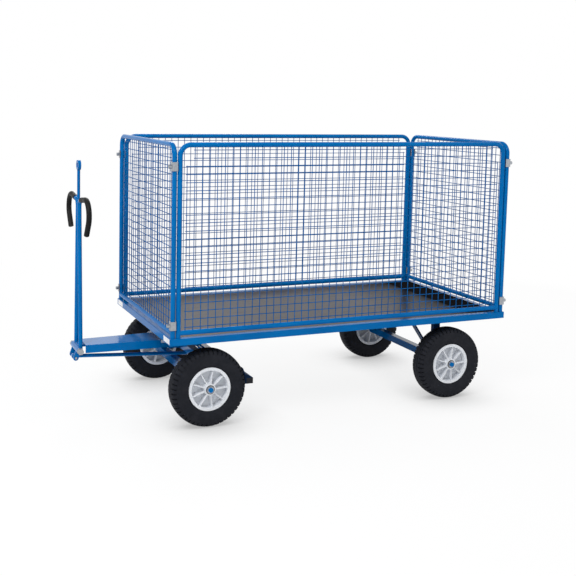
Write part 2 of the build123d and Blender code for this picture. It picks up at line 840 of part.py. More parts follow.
pin_x = pivot_x - lever_radius * sin(radians(lever_lean))
pin_z = pivot_z - lever_radius * cos(radians(lever_lean))
brake_beam_x = king_x + wheel_radius + beam_to_tyre
brake_beam_z = axle_z + brake_beam_rise
brake_beam_top = brake_beam_z + brake_beam_height
lug_x = brake_beam_x - lug_reach
lug_z = brake_beam_z + lug_height - lug_slot_height / 2 - lug_thickness
hanger_x = king_x + hanger_setback
hanger_z = axle_z + hanger_rise
rod_length = ((lug_x - pin_x) ** 2 + (lug_z - pin_z) ** 2) ** 0.5
rod_slope = degrees(atan2(pin_z - lug_z, lug_x - pin_x))
rod_face = rod_length + rod_washer_radius * tan(radians(rod_slope)) + slide_clearance


def brake_levers():
    """Two lever plates under the handle's sleeves."""
    y = (lever_spacing / 2 - lever_thickness / 2, lever_spacing / 2 + lever_thickness / 2)
    bar = block((-lever_end_radius, lever_end_radius), y, (-lever_radius, 0))
    end = round_y(0, y, -lever_radius, lever_end_radius)
    bore = round_y(0, y, -lever_radius, lever_pin_radius + running_clearance)
    plate = bar + end - bore - round_y(0, y, 0, sleeve_radius + seat_clearance)
    return both_sides(Pos(pivot_x, 0, pivot_z) * Rot(0, lever_lean, 0) * plate)


def lever_pin():
    """Pin that joins the lever plates through the brake rod's eye."""
    reach = lever_spacing / 2 + lever_thickness / 2 + lever_pin_overhang
    return round_y(pin_x, (-reach, reach), pin_z, lever_pin_radius)


def along_rod(shape):
    """Moves a shape built along +X from the origin onto the brake rod."""
    return Pos(pin_x, 0, pin_z) * Rot(0, rod_slope, 0) * shape


def brake_rod():
    """Tube from the lever pin, with a threaded end through the brake beam's lug."""
    eye_radius_out = lever_end_radius
    thread_start = rod_length - rod_thread_length
    y = (-rod_eye_width / 2, rod_eye_width / 2)
    body = round_x((0, thread_start), 0, 0, rod_radius) + round_y(0, y, 0, eye_radius_out)
    body -= round_x((eye_radius_out + rod_radius, thread_start - rod_radius), 0, 0, rod_bore_radius)
    end = rod_face + rod_washer_thickness + rod_nut_height + rod_tip_length
    body += round_x((thread_start - rod_radius, end), 0, 0, rod_thread_radius)
    return along_rod(body - round_y(0, y, 0, lever_pin_radius + running_clearance))


def rod_nut():
    """Washer and nut behind the brake beam's lug."""
    back = rod_face + rod_washer_thickness
    bore = rod_thread_radius + running_clearance
    washer = round_x((rod_face, back), 0, 0, rod_washer_radius) - round_x((rod_face, back), 0, 0, bore)
    nut = Pos(back, 0, 0) * Rot(0, 90, 0) * hexagon(rod_nut_flats, rod_nut_height)
    nut -= round_x((back, back + rod_nut_height), 0, 0, bore)
    return [along_rod(washer), along_rod(nut)]


def brake_beam():
    """Hollow beam behind both front tyres, with an upright lug on a tongue that reaches forward."""
    half = brake_beam_length / 2
    x = (brake_beam_x, brake_beam_x + brake_beam_depth)
    z = (brake_beam_z, brake_beam_top)
    beam = box_tube_y(x, (-half, half), z, brake_beam_wall)
    lug_y = (-lug_width / 2, lug_width / 2)
    lug_face = (lug_x - lug_thickness, lug_x)
    beam += block((lug_x, brake_beam_x), lug_y, (brake_beam_z, brake_beam_z + lug_thickness))
    beam += block(lug_face, lug_y, (brake_beam_z, brake_beam_z + lug_height))
    slot_y = (-lug_slot_width / 2, lug_slot_width / 2)
    slot_z = (lug_z - lug_slot_height / 2, lug_z + lug_slot_height / 2)
    return beam - block(lug_face, slot_y, slot_z)


def beam_caps():
    """Plugs in the ends of the brake beam."""
    half = brake_beam_length / 2
    plate = block((brake_beam_x, brake_beam_x + brake_beam_depth), (half, half + brake_beam_wall),
                  (brake_beam_z, brake_beam_top))
    return both_sides(plate)


def hanger_row(gap, thickness):
    """Y limits of a plate beside the right hanger plane, at a gap from its middle."""
    middle = bolster_length / 2 - hanger_inset
    return (middle + gap, middle + gap + thickness)


def brake_hangers():
    """Plates that carry the brake beam on the bogie's brackets."""
    y = hanger_row(0, hanger_thickness)
    points = [(hanger_x - hanger_end_radius, hanger_z), (hanger_x + hanger_end_radius, hanger_z),
              (brake_beam_x + brake_beam_depth, brake_beam_top), (brake_beam_x, brake_beam_top)]
    plate = profile_y(points, y) + round_y(hanger_x, y, hanger_z, hanger_end_radius)
    return both_sides(plate - round_y(hanger_x, y, hanger_z, hanger_pin_radius + running_clearance))


def brake_brackets():
    """Bracket plates on the bogie's legs, with the hanger pins welded in."""
    y = hanger_row(-slide_clearance - hanger_thickness, hanger_thickness)
    rear = king_x + beam_width / 2
    plate = block((rear, hanger_x), y, (hanger_z - hanger_end_radius, hanger_z + hanger_end_radius))
    plate += round_y(hanger_x, y, hanger_z, hanger_end_radius)
    pin_end = y[1] + 2 * slide_clearance + hanger_thickness + clip_ring_thickness
    return both_sides(plate + round_y(hanger_x, (y[0], pin_end), hanger_z, hanger_pin_radius))


def brake_shoes():
    """Curved shoe behind each front tyre, on two ribs over the brake beam."""
    inner = wheel_radius + shoe_gap
    outer = inner + shoe_thickness

    def at(radius, angle):
        return king_x + radius * cos(radians(angle)), axle_z + radius * sin(radians(angle))

    def arc(radius, high):
        ends = [at(radius, a) for a in (shoe_low_angle, (shoe_low_angle + high) / 2, high)]
        return ThreePointArc(*[(x, 0, z) for x, z in ends])

    def edge(start, end):
        return Line((start[0], 0, start[1]), (end[0], 0, end[1]))

    ends = [edge(at(inner, a), at(outer, a)) for a in (shoe_low_angle, shoe_high_angle)]
    plate_face = make_face([arc(inner, shoe_high_angle), arc(outer, shoe_high_angle)] + ends)
    lift = brake_beam_top + seat_clearance
    front = brake_beam_x - seat_clearance
    back = brake_beam_x + brake_beam_depth
    root = inner + weld_overlap
    chain = [at(root, shoe_low_angle), (front, at(inner, shoe_low_angle)[1]), (front, lift), (back, lift),
             at(outer, shoe_rib_angle), at(root, shoe_rib_angle)]
    rib_face = make_face([edge(a, b) for a, b in zip(chain, chain[1:])] + [arc(root, shoe_rib_angle)])

    def spread(face, y):
        return Pos(0, y[0], 0) * extrude(face, amount=y[1] - y[0], dir=(0, 1, 0))

    half = shoe_width / 2
    shoe = spread(plate_face, (wheel_y - half, wheel_y + half))
    for low in (wheel_y - half, wheel_y + half - shoe_rib_thickness):
        shoe += spread(rib_face, (low, low + shoe_rib_thickness))
    return both_sides(shoe)


def main():
    """Builds every node and writes it."""
    os.makedirs("parts", exist_ok=True)

    save("deck_rim", deck_rim())
    save("deck_members", *deck_members())
    save("deck_board", deck_board())
    save("deck_screws", *deck_screws())
    save("turntable_subframe", *turntable_subframe())

    side_frame = wall_frame(side_half, post_foot)
    end_frame = wall_frame(end_half, deck_top + seat_clearance)
    side_mesh = wall_mesh(side_half)
    end_mesh = wall_mesh(end_half)
    walls = (("left_wall", left_wall_place(), side_frame, side_mesh),
             ("right_wall", right_wall_place(), side_frame, side_mesh),
             ("front_wall", front_wall_place(), end_frame, end_mesh),
             ("rear_wall", rear_wall_place(), end_frame, end_mesh))
    for name, place, frame, mesh in walls:
        save(name + "_frame", place * frame)
        save(name + "_mesh", *[place * wire for wire in mesh])
    clamps = left_clamps()
    save("left_wall_clamps", *clamps)
    save("right_wall_clamps", *[mirror(piece, about=Plane.XZ) for piece in clamps])

    centre = wheel_rim()
    rubber = tyre()
    bearings = hub_bearings()
    for end, x in (("front", king_x), ("rear", rear_axle_x)):
        for side, y, turn in (("left", -wheel_y, 0), ("right", wheel_y, 180)):
            place = Pos(x, y, axle_z) * Rot(0, 0, turn)
            save(f"{end}_{side}_tyre", place * rubber)
            save(f"{end}_{side}_wheel", place * centre)
            save(f"{end}_{side}_bearings", *[place * sleeve for sleeve in bearings])
        save(f"{end}_axle", axle(x))
        save(f"{end}_axle_washers", *axle_washers(x))
    save("rear_axle_legs", *rear_legs())
    save("rear_axle_braces", *rear_braces())

    save("turntable_upper_ring", upper_ring())
    save("turntable_lower_ring", lower_ring())
    save("turntable_balls", *turntable_balls())
    upper_seat = ring_top - ring_flange_thickness
    save("turntable_upper_bolts", *ring_bolts(upper_bolt_places(), upper_seat, ring_top + subframe_wall,
                                              subframe_wall, True))
    lower_seat = bogie_top + ring_flange_thickness
    save("turntable_lower_bolts", *ring_bolts(lower_bolt_places(), lower_seat, bogie_top - beam_wall,
                                              beam_wall, False))

    save("bogie_frame", *bogie_frame())
    save("bogie_legs", *bogie_legs())
    save("drawbar_arm", drawbar_arm())
    save("drawbar_nose", drawbar_nose())
    save("drawbar_pivot_bolt", pivot_bolt())
    save("drawbar_pivot_washers", *pivot_washers())

    right_leg = handle_leg()
    right_grip = grip()
    save("handle_right_leg", right_leg)
    save("handle_left_leg", mirror(right_leg, about=Plane.XZ))
    save("handle_right_grip", right_grip)
    save("handle_left_grip", mirror(right_grip, about=Plane.XZ))
    save("handle_sleeves", *handle_sleeves())
    save("tow_eye", tow_eye())

    save("brake_levers", *brake_levers())
    save("brake_lever_pin", lever_pin())
    save("brake_rod", brake_rod())
    save("brake_rod_nut", *rod_nut())
    save("brake_beam", brake_beam())
    save("brake_beam_caps", *beam_caps())
    save("brake_hangers", *brake_hangers())
    save("brake_brackets", *brake_brackets())
    save("brake_shoes", *brake_shoes())


main()
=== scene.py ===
"""Mesh-sided hand cart: finishes, detail pieces, stage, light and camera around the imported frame."""
import json
import logging
import math
from dataclasses import dataclass
from enum import Enum
from typing import Callable

import bpy
from mathutils import Matrix, Vector


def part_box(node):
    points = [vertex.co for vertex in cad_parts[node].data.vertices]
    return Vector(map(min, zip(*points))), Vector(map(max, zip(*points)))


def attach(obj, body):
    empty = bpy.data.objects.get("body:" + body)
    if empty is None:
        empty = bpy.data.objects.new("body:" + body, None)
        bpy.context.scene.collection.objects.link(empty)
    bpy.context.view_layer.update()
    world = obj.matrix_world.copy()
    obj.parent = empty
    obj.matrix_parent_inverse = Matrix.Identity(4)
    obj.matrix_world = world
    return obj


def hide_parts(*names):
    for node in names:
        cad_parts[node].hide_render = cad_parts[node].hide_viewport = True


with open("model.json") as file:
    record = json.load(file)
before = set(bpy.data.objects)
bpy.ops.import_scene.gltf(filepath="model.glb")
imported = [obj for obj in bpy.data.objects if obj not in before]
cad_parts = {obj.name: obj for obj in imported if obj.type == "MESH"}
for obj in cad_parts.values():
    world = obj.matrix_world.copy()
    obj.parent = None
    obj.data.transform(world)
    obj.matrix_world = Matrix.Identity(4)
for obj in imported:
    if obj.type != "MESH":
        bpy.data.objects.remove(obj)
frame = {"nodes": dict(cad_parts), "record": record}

LOG = logging.getLogger("cart")
MM = 0.001

Tree = bpy.types.NodeTree
Socket = bpy.types.NodeSocket
Range = tuple[float, float]
Triple = tuple[float, float, float]

UNIT: Range = (0.0, 1.0)
NOISE_MIDDLE: Range = (0.3, 0.7)      # where most values of a soft noise lie
EDGE_MATCH: Range = (0.99, 0.86)      # cosine between true and rounded normal, from flat to edge
EDGE_SAMPLES = 4
EVEN_BLEND = 0.5                      # Layer Weight's setting for an even change over the angles
METAL_FROM = 0.5                      # metals keep the shader's own IOR
MERGE_MM = 0.01


class Wheel(Enum):
    """The four wheels, by the name that their nodes start with."""

    FRONT_LEFT = "front_left"
    FRONT_RIGHT = "front_right"
    REAR_LEFT = "rear_left"
    REAR_RIGHT = "rear_right"


class Wall(Enum):
    """The four lift-out walls, by the name that their nodes start with."""

    LEFT = "left_wall"
    RIGHT = "right_wall"
    FRONT = "front_wall"
    REAR = "rear_wall"


class Pick(Enum):
    """What a selection is made of, by Blender's name for the mode."""

    FACES = "FACE"
    EDGES = "EDGE"


def linear(code: str) -> tuple[float, float, float, float]:
    """Turns an sRGB hex colour to linear.

    Args:
        code: Six hex digits after a hash sign.

    Returns:
        Red, green, blue and alpha, linear.
    """
    def channel(text: str) -> float:
        """One channel, linear."""
        value = int(text, 16) / 255
        return value / 12.92 if value <= 0.04045 else ((value + 0.055) / 1.055) ** 2.4

    return (*(channel(code[i:i + 2]) for i in (1, 3, 5)), 1.0)


def per_metre(size_mm: float) -> float:
    """Texture scale whose features are about this many millimetres across."""
    return 1.0 / (size_mm * MM)


def add_node(tree: Tree, kind: str, inputs: dict | None = None, **settings) -> bpy.types.Node:
    """Adds a node with its settings, values and links.

    Args:
        tree: The material's node tree.
        kind: The node's type name.
        inputs: Input name or index to a value, or to an output socket that is linked.
        settings: Properties of the node itself.

    Returns:
        The new node.
    """
    node = tree.nodes.new(kind)
    for name, value in settings.items():
        setattr(node, name, value)
    for key, value in (inputs or {}).items():
        if isinstance(value, Socket):
            tree.links.new(value, node.inputs[key])
        else:
            node.inputs[key].default_value = value
    return node


def compute(tree: Tree, operation: str, *values: Socket | float) -> Socket:
    """Result of one maths node.

    Args:
        tree: The node tree.
        operation: Blender's name for the operation.
        values: One or two operands.

    Returns:
        The result.
    """
    return add_node(tree, "ShaderNodeMath", dict(enumerate(values)), operation=operation).outputs[0]


def ramp(tree: Tree, value: Socket, span: Range, onto: Range = UNIT, **settings) -> Socket:
    """Maps one range of values onto another, clamped.

    Args:
        tree: The node tree.
        value: The value to map.
        span: The range that it comes from.
        onto: The range that it is mapped onto.
        settings: Properties of the node.

    Returns:
        The mapped value.
    """
    inputs = {"Value": value, "From Min": span[0], "From Max": span[1], "To Min": onto[0], "To Max": onto[1]}
    return add_node(tree, "ShaderNodeMapRange", inputs, **settings).outputs[0]


def blend(tree: Tree, factor: Socket, first: Socket | str, second: Socket | str) -> Socket:
    """Mixes two colours, each a hex code or a socket.

    Args:
        tree: The node tree.
        factor: Share of the second colour.
        first: The first colour.
        second: The second colour.

    Returns:
        The mixed colour.
    """
    first, second = (linear(colour) if isinstance(colour, str) else colour for colour in (first, second))
    return add_node(tree, "ShaderNodeMix", {0: factor, 6: first, 7: second}, data_type="RGBA").outputs[2]


def feed(tree: Tree, shader: bpy.types.Node, sockets: dict[str, Socket]) -> None:
    """Links sockets to a shader's inputs, by the inputs' names."""
    for name, socket in sockets.items():
        tree.links.new(socket, shader.inputs[name])


@dataclass(frozen=True)
class Cloud:
    """Soft noise.

    Attributes:
        size_mm: Size of its features in millimetres.
        detail: Octaves of finer noise.
        stretch: Factors along X, Y and Z; below 1 draws the noise out.
    """

    size_mm: float
    detail: float = 3.0
    stretch: Triple = (1.0, 1.0, 1.0)


@dataclass(frozen=True)
class Patches:
    """Places where a second colour shows.

    Attributes:
        noise: The noise that they follow.
        onset: Noise values at which they begin and are full.
        strength: Share of the second colour where they are full.
    """

    noise: Cloud
    onset: Range
    strength: float = 1.0


@dataclass(frozen=True)
class Unevenness:
    """Roughness that wanders about the finish's own.

    Attributes:
        noise: The noise that it follows.
        less: Greatest loss of roughness.
        more: Greatest gain of roughness.
    """

    noise: Cloud
    less: float
    more: float


@dataclass(frozen=True)
class Relief:
    """Fine relief that only bends the light.

    Attributes:
        depth_mm: Its depth in millimetres.
        strength: Share of that depth that shows.
        noise: The noise that it follows, where the finish gives no height of its own.
    """

    depth_mm: float
    strength: float
    noise: Cloud | None = None


@dataclass(frozen=True)
class Finish:
    """A surface finish: a shader with its own procedural pattern.

    Attributes:
        name: The material's name.
        colour: Main colour, sRGB hex.
        roughness: Middle of the roughness range.
        metallic: Metallic value.
        ior: Index of refraction of the surface film.
        gloss: Strength of the reflection, 0.5 for a clean polished film.
    """

    name: str
    colour: str
    roughness: float
    metallic: float = 0.0
    ior: float = 1.5
    gloss: float = 0.5

    def material(self) -> bpy.types.Material:
        """The finish's material, made at its first use."""
        found = bpy.data.materials.get(self.name)
        if found:
            return found
        made = bpy.data.materials.new(self.name)
        made.use_nodes = True
        tree = made.node_tree
        shader = tree.nodes["Principled BSDF"]
        shader.inputs["Roughness"].default_value = self.roughness
        shader.inputs["Metallic"].default_value = self.metallic
        shader.inputs["Base Color"].default_value = linear(self.colour)
        if self.metallic < METAL_FROM:
            shader.inputs["IOR"].default_value = self.ior
            shader.inputs["Specular IOR Level"].default_value = self.gloss
        self.pattern(tree, shader)
        return made

    def pattern(self, tree: Tree, shader: bpy.types.Node) -> None:
        """Adds the finish's own pattern; each finish gives its own."""

    def place(self, tree: Tree) -> Socket:
        """Object coordinates, which stay on the piece."""
        return add_node(tree, "ShaderNodeTexCoord").outputs["Object"]

    def cloud(self, tree: Tree, noise: Cloud) -> Socket:
        """Value of a soft noise on the piece, from 0 to 1."""
        mapped = add_node(tree, "ShaderNodeMapping", {"Vector": self.place(tree), "Scale": noise.stretch})
        inputs = {"Vector": mapped.outputs[0], "Scale": per_metre(noise.size_mm), "Detail": noise.detail}
        return add_node(tree, "ShaderNodeTexNoise", inputs).outputs[0]

    def patches(self, tree: Tree, patches: Patches) -> Socket:
        """Share of a second colour, patch by patch."""
        return ramp(tree, self.cloud(tree, patches.noise), patches.onset, (0.0, patches.strength))

    def uneven(self, tree: Tree, spread: Unevenness) -> Socket:
        """Roughness that wanders about the finish's own."""
        onto = (self.roughness - spread.less, self.roughness + spread.more)
        return ramp(tree, self.cloud(tree, spread.noise), NOISE_MIDDLE, onto)

    def worn_edges(self, tree: Tree, radius_mm: float) -> tuple[Socket, Socket]:
        """Rounded normal, and a mask that is 1 on edges.

        Args:
            tree: The material's node tree.
            radius_mm: Radius over which an edge looks rounded.

        Returns:
            The rounded normal and the edge mask.
        """
        bevel = add_node(tree, "ShaderNodeBevel", {"Radius": radius_mm * MM}, samples=EDGE_SAMPLES)
        rounded = bevel.outputs[0]
        flat = add_node(tree, "ShaderNodeNewGeometry").outputs["Normal"]
        match = add_node(tree, "ShaderNodeVectorMath", {0: rounded, 1: flat}, operation="DOT_PRODUCT")
        return rounded, ramp(tree, match.outputs["Value"], EDGE_MATCH)

    def bump(self, tree: Tree, relief: Relief, height: Socket | None = None,
             normal: Socket | None = None) -> Socket:
        """Normal of a surface with this relief.

        Args:
            tree: The material's node tree.
            relief: The relief.
            height: Its height, where it doesn't follow a noise.
            normal: The normal that it bends, where that isn't the surface's own.

        Returns:
            The bent normal.
        """
        inputs = {"Height": height or self.cloud(tree, relief.noise), "Distance": relief.depth_mm * MM,
                  "Strength": relief.strength}
        if normal is not None:
            inputs["Normal"] = normal
        return add_node(tree, "ShaderNodeBump", inputs).outputs[0]


@dataclass(frozen=True)
class PowderCoat(Finish):
    """Polyester powder coat on steel: even colour, faint orange peel, paler where it thins on edges.

    Attributes:
        deep: Colour where the coat is thick.
        edge: Colour where it is thin.
        edge_mm: Radius of the edges.
        drift: Where the coat is thick.
        wear: Where edges are thin.
        rubs: Fine rubs.
        peel: Orange peel.
        low_angle: Layer Weight values over which the shine grows.
        sheen: Strength of the reflection at low angles.
    """

    deep: str = "#0062A6"
    edge: str = "#2F84C8"
    edge_mm: float = 1.6
    drift: Patches = Patches(Cloud(260.0), (0.35, 0.65))
    wear: Patches = Patches(Cloud(14.0, 4.0), (0.42, 0.62), 0.8)
    rubs: Unevenness = Unevenness(Cloud(22.0, 5.0), 0.02, 0.03)
    peel: Relief = Relief(0.25, 0.03, Cloud(2.4, 1.0))
    low_angle: Range = (0.62, 0.8)
    sheen: float = 1.0

    def pattern(self, tree: Tree, shader: bpy.types.Node) -> None:
        """Colour drift, orange peel, thin edges, fine rubs and a shine that grows at low angles."""
        rounded, edges = self.worn_edges(tree, self.edge_mm)
        body = blend(tree, self.patches(tree, self.drift), self.colour, self.deep)
        worn = compute(tree, "MULTIPLY", edges, self.patches(tree, self.wear))
        facing = add_node(tree, "ShaderNodeLayerWeight", {"Blend": EVEN_BLEND}).outputs["Facing"]
        feed(tree, shader, {
            "Base Color": blend(tree, worn, body, self.edge),
            "Roughness": self.uneven(tree, self.rubs),
            "Normal": self.bump(tree, self.peel, normal=rounded),
            "Specular IOR Level": ramp(tree, facing, self.low_angle, (self.gloss, self.sheen)),
        })


@dataclass(frozen=True)
class FilmFacedBoard(Finish):
    """Phenolic-film plywood: a fine pressed pattern, with painted shade that darkens it towards the rear end,
    where it also reflects less.

    Attributes:
        scuff: Colour of the scuffs.
        dark: Colour of the stains.
        painted_rear_shade: Painted shade: the colour that the film darkens to at the rear end.
        ridge_mm: Spacing of the pressed ridges.
        ridge_turn_deg: Their angle to the cart's length.
        ridge: Their relief.
        stains: Broad stains.
        scuffs: Long scuffs.
        scuff_roughness: Roughness that a scuff adds.
        matt: Strength of the reflection at the rear end.
        rear_fade_mm: Where along the cart the painted shade and the loss of reflection begin, and where they
            are full.
    """

    scuff: str = "#463F3B"
    dark: str = "#292321"
    # painted shade: the darker colour that the film takes at its rear end
    painted_rear_shade: str = "#191819"
    ridge_mm: float = 6.0
    ridge_turn_deg: float = 45.0
    ridge: Relief = Relief(0.3, 0.08)
    stains: Patches = Patches(Cloud(320.0, 4.0), (0.35, 0.7), 0.55)
    scuffs: Patches = Patches(Cloud(12.0, 6.0, (0.06, 1.0, 1.0)), (0.58, 0.74), 0.45)
    scuff_roughness: float = 0.16
    matt: float = 0.0
    rear_fade_mm: Range = (520.0, 980.0)

    def ridges(self, tree: Tree) -> Socket:
        """Height of the pressed diamond pattern."""
        turn = (0.0, 0.0, math.radians(self.ridge_turn_deg))
        turned = add_node(tree, "ShaderNodeMapping", {"Vector": self.place(tree), "Rotation": turn})
        axes = add_node(tree, "ShaderNodeSeparateXYZ", {0: turned.outputs[0]}).outputs
        waves = math.tau * per_metre(self.ridge_mm)
        angles = [compute(tree, "MULTIPLY", axes[axis], waves) for axis in ("X", "Y")]
        return compute(tree, "MAXIMUM", *(compute(tree, "COSINE", angle) for angle in angles))

    def pattern(self, tree: Tree, shader: bpy.types.Node) -> None:
        """Pressed diamond pattern, long scuffs, broad stains, and painted shade with less reflection towards
        the rear.
        """
        along = add_node(tree, "ShaderNodeSeparateXYZ", {0: self.place(tree)}).outputs["X"]
        front, rear = (end * MM for end in self.rear_fade_mm)
        worn = blend(tree, self.patches(tree, self.stains), self.colour, self.dark)
        # painted shade: the colour darkens towards the rear end
        body = blend(tree, ramp(tree, along, (front, rear)), worn, self.painted_rear_shade)
        scuffs = self.patches(tree, self.scuffs)
        feed(tree, shader, {
            "Base Color": blend(tree, scuffs, body, self.scuff),
            "Roughness": ramp(tree, scuffs, (0.0, self.scuffs.strength),
                              (self.roughness, self.roughness + self.scuff_roughness)),
            "Normal": self.bump(tree, self.ridge, self.ridges(tree)),
            "Specular IOR Level": ramp(tree, along, (front, rear), (self.gloss, self.matt)),
        })


@dataclass(frozen=True)
class TyreRubber(Finish):
    """Vulcanised rubber: near black with a blue cast, matte, with dust on it.

    Attributes:
        dust: Colour of the dust and bloom.
        bloom: Where they lie.
        scrub: Changes of the roughness.
        grain: Mould grain.
    """

    dust: str = "#34343A"
    bloom: Patches = Patches(Cloud(45.0, 5.0), (0.45, 0.75), 0.28)
    scrub: Unevenness = Unevenness(Cloud(9.0, 4.0), 0.08, 0.1)
    grain: Relief = Relief(0.2, 0.35, Cloud(1.6, 3.0))

    def pattern(self, tree: Tree, shader: bpy.types.Node) -> None:
        """Fine mould grain, patchy bloom and a little dust."""
        feed(tree, shader, {
            "Base Color": blend(tree, self.patches(tree, self.bloom), self.colour, self.dust),
            "Roughness": self.uneven(tree, self.scrub),
            "Normal": self.bump(tree, self.grain),
        })


@dataclass(frozen=True)
class MouldedPlastic(Finish):
    """Glass-filled nylon, moulded: pale, satin, with a fine grain and paler, rubbed edges.

    Attributes:
        shade: Colour of the darker areas.
        rubbed: Colour of the rubbed edges.
        edge_mm: Radius of the edges.
        edge_share: How much of the rubbed colour the edges take.
        drift: Where the darker areas lie.
        handling: Changes of the roughness.
        grain: Mould grain.
    """

    shade: str = "#D3D7DD"
    rubbed: str = "#F3F5F8"
    edge_mm: float = 1.4
    edge_share: float = 0.35
    drift: Patches = Patches(Cloud(70.0, 3.0), (0.4, 0.75), 0.45)
    handling: Unevenness = Unevenness(Cloud(18.0, 4.0), 0.05, 0.1)
    grain: Relief = Relief(0.1, 0.15, Cloud(1.2, 2.0))

    def pattern(self, tree: Tree, shader: bpy.types.Node) -> None:
        """Fine grain, broad tone drift, handling marks and rubbed edges."""
        rounded, edges = self.worn_edges(tree, self.edge_mm)
        body = blend(tree, self.patches(tree, self.drift), self.colour, self.shade)
        faint = compute(tree, "MULTIPLY", edges, self.edge_share)
        feed(tree, shader, {
            "Base Color": blend(tree, faint, body, self.rubbed),
            "Roughness": self.uneven(tree, self.handling),
            "Normal": self.bump(tree, self.grain, normal=rounded),
        })


@dataclass(frozen=True)
class ZincPlate(Finish):
    """Bright zinc on steel: silvery, with a faint spangle.

    Attributes:
        dull: Colour between the spangle's cells.
        edge_mm: Radius of the edges.
        spangle_mm: Size of the spangle's cells.
        spangle_span: Distances from a cell's middle over which it grows dull.
        spangle_share: Share of the dull colour between the cells.
        scratches: Changes of the roughness.
        grain: Fine grain.
    """

    dull: str = "#8F949B"
    edge_mm: float = 0.8
    spangle_mm: float = 5.0
    spangle_span: Range = (0.0, 0.8)
    spangle_share: float = 0.6
    scratches: Unevenness = Unevenness(Cloud(8.0, 5.0), 0.08, 0.14)
    grain: Relief = Relief(0.05, 0.2, Cloud(0.8, 2.0))

    def pattern(self, tree: Tree, shader: bpy.types.Node) -> None:
        """Spangle cells, uneven shine and a fine grain."""
        rounded, _ = self.worn_edges(tree, self.edge_mm)
        inputs = {"Vector": self.place(tree), "Scale": per_metre(self.spangle_mm)}
        cells = add_node(tree, "ShaderNodeTexVoronoi", inputs).outputs["Distance"]
        tone = ramp(tree, cells, self.spangle_span, (0.0, self.spangle_share))
        feed(tree, shader, {
            "Base Color": blend(tree, tone, self.colour, self.dull),
            "Roughness": self.uneven(tree, self.scratches),
            "Normal": self.bump(tree, self.grain, normal=rounded),
        })


@dataclass(frozen=True)
class HoseRubber(Finish):
    """Extruded soft PVC hose: black, matte, mottled, with shiny palm areas.

    Attributes:
        pale: Colour of the paler areas.
        mottling: Where they lie.
        palm: Changes of the roughness.
        grain: Leathery grain.
    """

    pale: str = "#232323"
    mottling: Patches = Patches(Cloud(25.0, 4.0), (0.4, 0.75), 0.6)
    palm: Unevenness = Unevenness(Cloud(60.0, 2.0), 0.12, 0.1)
    grain: Relief = Relief(0.15, 0.3, Cloud(1.4, 2.0))

    def pattern(self, tree: Tree, shader: bpy.types.Node) -> None:
        """Soft mottling, palm shine and a leathery grain."""
        feed(tree, shader, {
            "Base Color": blend(tree, self.patches(tree, self.mottling), self.colour, self.pale),
            "Roughness": self.uneven(tree, self.palm),
            "Normal": self.bump(tree, self.grain),
        })


@dataclass(frozen=True)
class LabelVinyl(Finish):
    """Blank white vinyl label: bright and smooth, with a faint grey soil.

    Attributes:
        soil: Colour of the soil.
        soiling: Where it lies.
        soil_roughness: Roughness that it adds.
    """

    soil: str = "#C9CBCD"
    soiling: Patches = Patches(Cloud(18.0, 5.0), (0.55, 0.8), 0.6)
    soil_roughness: float = 0.2

    def pattern(self, tree: Tree, shader: bpy.types.Node) -> None:
        """Faint soil and a slightly uneven gloss."""
        soiled = self.patches(tree, self.soiling)
        feed(tree, shader, {
            "Base Color": blend(tree, soiled, self.colour, self.soil),
            "Roughness": ramp(tree, soiled, (0.0, self.soiling.strength),
                              (self.roughness, self.roughness + self.soil_roughness)),
        })


BLUE = PowderCoat("blue_powder_coat", "#006CB2", 0.13, gloss=0.05)
TUBE = PowderCoat("tube_powder_coat", "#006CB2", 0.16, gloss=0.05, sheen=0.15)
# painted shade: the wire meshes get a darker copy of the blue paint
PAINTED_SHADE_WIRE = PowderCoat("wire_painted_shade_coat", "#005C9E", 0.2, gloss=0.05, deep="#005290", edge="#1F6FB0", sheen=0.1)
# painted shade: the brake shoes get a dark navy copy of the blue paint, for the shade beneath the deck
PAINTED_SHADE_SHOE = PowderCoat("brake_painted_shade_coat", "#0B2747", 0.3, gloss=0.05, deep="#081E38", edge="#1D3F66", sheen=0.5)
# painted shade: the rear legs and braces get a darker copy of the blue paint, for the shade beneath the deck
PAINTED_SHADE_GEAR = PowderCoat("running_gear_painted_shade_coat", "#003A6C", 0.2, gloss=0.03, deep="#00325E", edge="#12518A",
                   sheen=0.05)
SCREW = PowderCoat("black_coated_screw", "#3B3735", 0.5, gloss=0.2, deep="#332F2D", edge="#5A5552", sheen=0.5)
BOARD = FilmFacedBoard("film_faced_board", "#322B28", 0.28, gloss=0.12)
ZINC = ZincPlate("bright_zinc", "#AEB2B7", 0.32, metallic=1.0)
# a darker steel for the bearing sleeves
DARK_STEEL = ZincPlate("dark_bearing_steel", "#6E6C6A", 0.3, metallic=1.0, dull="#3D3B39")
TYRE = TyreRubber("vulcanised_rubber", "#1B1D23", 0.7, ior=1.52, gloss=0.12)
RIM = MouldedPlastic("wheel_nylon", "#E4E7EC", 0.45, gloss=0.35)
GRIP = HoseRubber("grip_hose", "#101010", 0.55, gloss=0.15, pale="#1A1A1A")
CAP = HoseRubber("beam_end_plug", "#16181D", 0.5, gloss=0.2)
LABEL = LabelVinyl("blank_label_vinyl", "#F1F2F3", 0.3)

FINISH_OF_SLOT: dict[str, Finish] = {
    "blue_paint": BLUE,
    "deck_panel": BOARD,
    "zinc_plate": ZINC,
    "bearing_steel": DARK_STEEL,
    "dark_screw": SCREW,
    "tyre_rubber": TYRE,
    "wheel_grey": RIM,
    "grip_black": GRIP,
}

